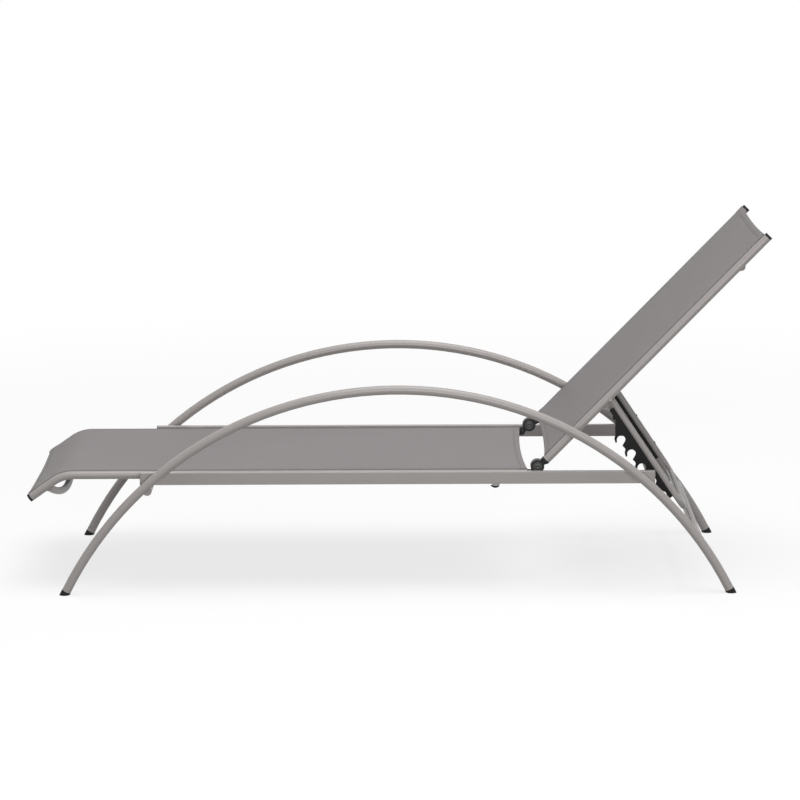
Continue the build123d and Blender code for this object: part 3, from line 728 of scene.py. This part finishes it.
# %% Both slings
foot_cap_t = 0.0061
seat_rear_inset = 0.007
bend_cut = foot_bend_r * (2 * math.tan(foot_bend / 2) - foot_bend) - sling_rise * foot_bend
seat_total = foot_run + seat_end_x - seat_corner[0] - bend_cut
seat_span = (foot_cap_t, seat_total - seat_rear_inset)
back_span = (0.031, 0.778)
seat_dips, back_dips = (0.0, 0.0075), (0.0055, 0.0055)
seat_sag, back_sag = 0.005, 0.004
seat_rows, back_rows = 320, 200
seat_sling, seat_flat = sling("seat_cloth", seat_line, seat_span, seat_dips, seat_sag, seat_rows)
back_sling, back_flat = sling("back_cloth", back_line, back_span, back_dips, back_sag, back_rows)

# %% [markdown]
# Two rows of small stitches hold each hem. A dashed texture would lie flat, so each stitch is a
# short bead on the cloth: a sphere's points, stretched along the hem and set at even steps
# across the sling. Each has few faces, because there are hundreds of them.

# %% Hem stitches
stitch_pitch = 0.0046
stitch_half = np.array([0.0018, 0.0006, 0.0004])
stitch_rows = (0.0105, 0.0140)
stitch_margin = 1.6 * rail_r
stitch_rings, stitch_sides = 5, 6
small_step = 0.001
theta, phi = np.meshgrid(
    np.linspace(0, math.pi, stitch_rings), np.arange(stitch_sides) * 2 * math.pi / stitch_sides,
    indexing="ij",
)
ball = np.stack([np.cos(theta), np.sin(theta) * np.cos(phi), np.sin(theta) * np.sin(phi)], -1)


def stitches(name, line, span, dips, sag, body):
    """Stitches along both hems of a sling. Each is the ball times the stitch's half sizes, along
    the hem's own direction, the cloth's line and its normal."""
    across = flat_half - stitch_margin
    y = np.arange(-across, across, stitch_pitch)
    y_share = y / flat_half
    grids = []
    for start, inwards, dip in ((span[0], 1, dips[0]), (span[1], -1, dips[1])):
        for row in stitch_rows:
            s = start + inwards * (row + dip * (1 - y_share**2))
            share = (s - span[0]) / (span[1] - span[0])
            at, up = line(s)
            along = (line(s + small_step)[0] - at) / small_step
            middles = at - up * (hang_depth(share, y_share, sag) - sling_t / 2)[:, None]
            middles[:, 1] = y
            lean = -2 * inwards * dip * y_share / flat_half
            for middle, normal, ahead, tilt in zip(middles, up, along, lean):
                long_way = Y + ahead * tilt
                ways = np.stack([long_way / np.linalg.norm(long_way), ahead, normal])
                grids.append((middle + (ball * stitch_half) @ ways, False, True))
    return piece(name, grids, thread, body)


seat_stitches = stitches("seat_stitches", seat_line, seat_span, seat_dips, seat_sag, "base")
back_stitches = stitches("back_stitches", back_line, back_span, back_dips, back_sag, "backrest")
for sheet, sling_node, body, flat, sewn in (
    (seat_sling, "seat_sling", "base", seat_flat, seat_stitches),
    (back_sling, "back_sling", "backrest", back_flat, back_stitches),
):
    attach(sheet, body)
    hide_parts(sling_node)
print("stitches", len(seat_stitches.data.polygons) + len(back_stitches.data.polygons), "faces")

# %% [markdown]
# Where one tube ends against another, a weld bead runs round the joint. Its path is the curve
# where the two round skins meet, which a Boolean modifier could also find, but a formula gives
# it in order. From each point round the ending tube, a line along that tube is followed to the
# through tube's skin: with w the offset from the through tube's axis and D the line's
# direction, both square to that axis, the distance t solves |w + t D| = radius.

# %% Where two tubes meet
bead_steps = 72
start_back = 4


def coped_loop(end_point, end_dir, end_r, axis_point, axis_dir, axis_r):
    """The points where a tube that ends at end_point meets a through tube, and which are real.
    The lines start well before the joint, so the nearer of the two crossings is taken."""
    axis_dir = axis_dir / np.linalg.norm(axis_dir)
    end_dir = end_dir / np.linalg.norm(end_dir)
    u = np.cross(end_dir, axis_dir)
    u = u / np.linalg.norm(u)
    v = np.cross(end_dir, u)
    angle = np.arange(bead_steps) * 2 * math.pi / bead_steps
    starts = end_point + end_r * (np.cos(angle)[:, None] * u + np.sin(angle)[:, None] * v)
    starts = starts - start_back * axis_r * end_dir
    w = starts - axis_point
    w = w - (w @ axis_dir)[:, None] * axis_dir
    d = end_dir - (end_dir @ axis_dir) * axis_dir
    half_b = w @ d
    root = half_b**2 - (d @ d) * ((w**2).sum(-1) - axis_r**2)
    t = (-half_b - np.sqrt(np.maximum(root, 0))) / (d @ d)
    return starts + t[:, None] * end_dir, root > 0


# %% [markdown]
# The bead itself is a thin ring tube round that path. A welder moves on in small steps, which
# leave ripples, so its radius swells and shrinks along the way.

# %% A rippled seam
bead_r, bead_sides = 0.0016, 8
ripples, ripple_height = 18, 0.10
run_out = 0.02


def bead(loop, real):
    """A seam along a loop: at each point, radius times (cos a, sin a) in the plane square to the
    path. Where the loop isn't real, the seam runs out to nothing."""
    ahead = np.roll(loop, -1, 0) - np.roll(loop, 1, 0)
    ahead = ahead / np.linalg.norm(ahead, axis=-1, keepdims=True)
    out = loop - loop.mean(0)
    out = out - (out * ahead).sum(-1, keepdims=True) * ahead
    out = out / np.linalg.norm(out, axis=-1, keepdims=True)
    side = np.cross(ahead, out)
    count = len(loop)
    swell = 1 + ripple_height * np.sin(np.arange(count) * 2 * math.pi * ripples / count)
    present = real.astype(float)
    present = (np.roll(present, 1) + present + np.roll(present, -1)) / 3 * real
    radius = bead_r * swell * np.maximum(present, run_out)
    ring = np.arange(bead_sides) * 2 * math.pi / bead_sides
    ring_out, ring_side = np.cos(ring)[None, :, None], np.sin(ring)[None, :, None]
    around = ring_out * out[:, None] + ring_side * side[:, None]
    return loop[:, None] + radius[:, None, None] * around, True, True


# %% [markdown]
# Four bows of thinner tube tie the rails together. They hang a little below the rails' centre
# lines, so part of each open end would show, and a small plate closes it.

# %% Bow ends
bow_r, bow_end_in, bow_depth = 0.009, 0.004, 0.007
plate_inset, plate_back, plate_face = 0.0008, -0.0016, -0.0003
plate_r = bow_r - plate_inset
end_plate = [(0, plate_back), (plate_r, plate_back), (plate_r, plate_face), (0, plate_face)]


def bow_ends(rail_point, rail_dir, depth, fall):
    """Beads and end plates of a bow between the rails. depth runs from the rails' line to the
    bow's ends, and fall from its ends to its middle. An arc of half chord c and sag h leans at
    its ends from the chord by twice the angle whose tangent is h over c."""
    half_chord = rail_y - bow_end_in
    sag = np.linalg.norm(fall)
    lean = 2 * math.atan2(sag, half_chord)
    fall_dir = fall / max(sag, same_place)
    grids = []
    for side in (-1, 1):
        end_dir = side * math.cos(lean) * Y - math.sin(lean) * fall_dir
        end_point = rail_point + depth + side * half_chord * Y
        on_rail = rail_point + side * rail_y * Y
        grids.append(bead(*coped_loop(end_point, end_dir, bow_r, on_rail, rail_dir, rail_r)))
        grids.append(turned_shape(end_point, end_dir, end_plate))
    return grids


# %% [markdown]
# Three crossbars run from arch to arch, and each has a bead at both ends. The arch is a part of
# a circle, straight enough over a bar's width to be taken as its tangent tube there.

# %% Crossbar ends
arch_chord, arch_rise = 1.612, 0.5015
bar_slack = 0.001


def crossbar_beads(node):
    """Beads where a crossbar meets the arches. A circle with chord c and rise h has the radius
    (c squared over 4 plus h squared) over 2h."""
    arch_y, arch_r = middle_of("arch_right")[1], size_of("arch_right")[1] / 2
    arc_r = (arch_chord**2 / 4 + arch_rise**2) / (2 * arch_rise)
    arc_centre = np.array([arch_mid, 0, arch_rise - arc_r])
    bar = middle_of(node) * (X + Z)
    outwards = (bar - arc_centre) / np.linalg.norm(bar - arc_centre)
    on_arch = arc_centre + arc_r * outwards
    grids = []
    for side in (-1, 1):
        loop, real = coped_loop(
            bar + side * arch_y * Y, side * Y, size_of(node)[0] / 2,
            on_arch + side * arch_y * Y, np.cross(outwards, Y), arch_r,
        )
        real = real & (np.abs(loop[:, 1]) < size_of(node)[1] / 2 + bar_slack)
        grids.append(bead(loop, real))
    return grids


# %% [markdown]
# All welds of one body are one piece, which keeps the list of pieces short. The places of the
# bows along their rails are the driving sizes of the frame. The foot bow and the rear bow lean
# out of the square, each by its own angle.

# %% All welds
foot_bow_run, foot_bow_sag, foot_bow_lean = 0.045, 0.0505, 22.5
rear_bow_out, rear_bow_sag, rear_bow_lean = 0.251, 0.059, 12
top_bow_along, top_bow_sag = 0.685, 0.025
low_bow_along = 0.219
foot_fall = -slope(foot_bow_lean)[1] * foot_bow_sag
rear_fall = -slope(-rear_bow_lean)[1] * rear_bow_sag
foot_bow_rail = seat_corner - foot_bow_run * foot_dir
rear_bow_rail = np.array([arch_mid + rear_bow_out, 0, seat_rail_z])
top_bow_rail = back_rail_line + top_bow_along * back_dir
low_bow_rail = back_rail_line + low_bow_along * back_dir
base_grids = bow_ends(foot_bow_rail, foot_dir, -bow_depth * foot_up, foot_fall)
base_grids += bow_ends(rear_bow_rail, X, -bow_depth * Z, rear_fall)
for bar_node in ("front_crossbar", "hook_bar", "rear_crossbar"):
    base_grids += crossbar_beads(bar_node)
base_welds = piece("base_welds", base_grids, finishes["weld_coat"], "base")
back_grids = bow_ends(top_bow_rail, back_dir, -bow_depth * back_up, -top_bow_sag * back_up)
back_grids += bow_ends(low_bow_rail, back_dir, -bow_depth * back_up, 0 * back_up)
back_welds = piece("back_welds", back_grids, finishes["weld_coat"], "backrest")
print("weld beads and end plates", len(base_grids) + len(back_grids))

# %% [markdown]
# The hinges are bought parts, the same on both sides. Each has a domed cover with a pressed ring
# over its bolt, a grey shell round the half that faces away from the camera, and a black sleeve
# over the end of the seat rail. All are turned shapes, as a lathe or the Screw modifier would
# make them: a profile of radius and height, swept round an axis.

# %% Profiles of the hinge covers, shells and sleeves
head_r = size_of("hinge_bolt_left")[0] / 2
skirt_over, skirt_low = 0.0006, -0.0020
skirt_r = head_r + skirt_over
cover_skirt = [(0.0, skirt_low), (skirt_r, skirt_low), (skirt_r, -0.0002)]
cover_rim = [(head_r, 0.0006), (head_r - 0.0014, 0.0007)]
cover_groove = [(head_r - 0.0020, 0.0002), (head_r - 0.0034, 0.0002)]
cover_dome = [(head_r - 0.0038, 0.0007), (0.0042, 0.0009)]
cover_dimple = [(0.0036, 0.0008), (0.0032, 0.0003), (0.0, 0.0003)]
cover_profile = cover_skirt + cover_rim + cover_groove + cover_dome + cover_dimple

disc_r, half_t = 0.01625, 0.0107
shell_deep, shell_over = 0.003, 0.0005
shell_in, shell_out = disc_r - shell_deep, disc_r + shell_over
shell_section = [
    (shell_in, 0.0002), (disc_r + 0.0002, 0.0002), (shell_out, -0.0003),
    (shell_out, -half_t + 0.0008), (disc_r + 0.0001, -half_t), (shell_in, -half_t),
]

sleeve_length, sleeve_deep, sleeve_over = 0.0062, 0.001, 0.0005
sleeve_in, sleeve_out = rail_r - sleeve_deep, rail_r + sleeve_over
sleeve_section = [
    (sleeve_in, -sleeve_length), (sleeve_out, -sleeve_length), (sleeve_out, 0.0), (sleeve_in, 0.0)
]
print("bolt cover", round(head_r * 2, 4), "m wide, shell", round(disc_r * 2, 4), "m wide")

# %% [markdown]
# The profiles are set on the hinge's axis, and the sleeves on the rails' ends. The two halves of
# a hinge meet at the rails' centre plane with a small gap, which places the shells' faces.

# %% Hinge covers, shells and sleeves
bolt_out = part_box("hinge_bolt_right")[1].y
bolt_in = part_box("hinge_bolt_right")[0].y
half_gap = 0.0003
inner_face = rail_y - half_gap - half_t
outer_face = rail_y + half_gap + half_t
seat_rail_end = np.array([seat_end_x, 0, seat_rail_z])
cover_grids, sleeve_grids = [], []
for side in (-1, 1):
    for face_y, way in ((side * bolt_out, side), (side * bolt_in, -side)):
        cover_grids.append(turned_shape(hinge + face_y * Y, way * Y, cover_profile))
    rail_end = seat_rail_end + side * rail_y * Y
    sleeve_grids.append(turned_shape(rail_end, X, sleeve_section, closed=True))
covers = piece("hinge_covers", cover_grids, finishes["hinge_cover"], "base")
sleeves = piece("hinge_sleeves", sleeve_grids, finishes["black_plastic"], "base")
for body, face_y in (("base", outer_face), ("backrest", -inner_face)):
    shell_grid = turned_shape(hinge + face_y * Y, Y, shell_section, closed=True)
    shell = piece("hinge_shell_" + body, [shell_grid], finishes["hinge_grey"], body)
print("hinge bolt from", round(bolt_in, 4), "to", round(bolt_out, 4))
